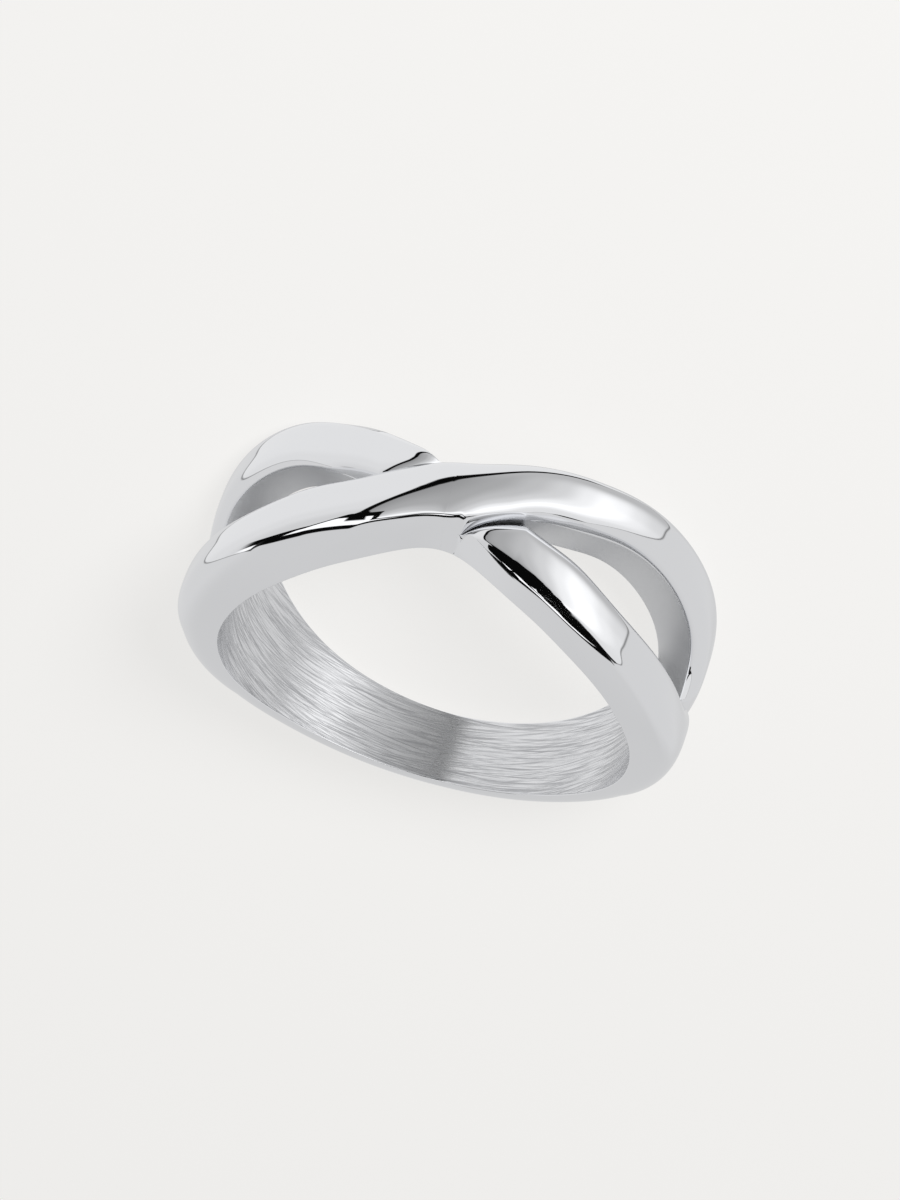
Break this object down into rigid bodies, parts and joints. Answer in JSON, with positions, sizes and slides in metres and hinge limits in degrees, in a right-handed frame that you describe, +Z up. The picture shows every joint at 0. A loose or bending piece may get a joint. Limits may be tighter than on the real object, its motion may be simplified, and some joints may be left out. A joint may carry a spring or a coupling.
{
  "type": "crossover ring",
  "caption": "Polished steel crossover ring: two strands part from a plain back band, leave a gap on each side and cross one over the other.",
  "frame": {"origin": "on the surface the ring lies on, below the middle of the ring's outline seen from above", "axes": "+Z up from the surface, -Y towards the crossing, +X to the right of one who looks along +Y at the crossing"},
  "size_m": [0.021, 0.0208, 0.0078],
  "materials": {
    "polished_steel": "mirror polished outside, brushed round the inside"
  },
  "bodies": {
    "root": {"crossover_band": "polished_steel"}
  },
  "joints": []
}
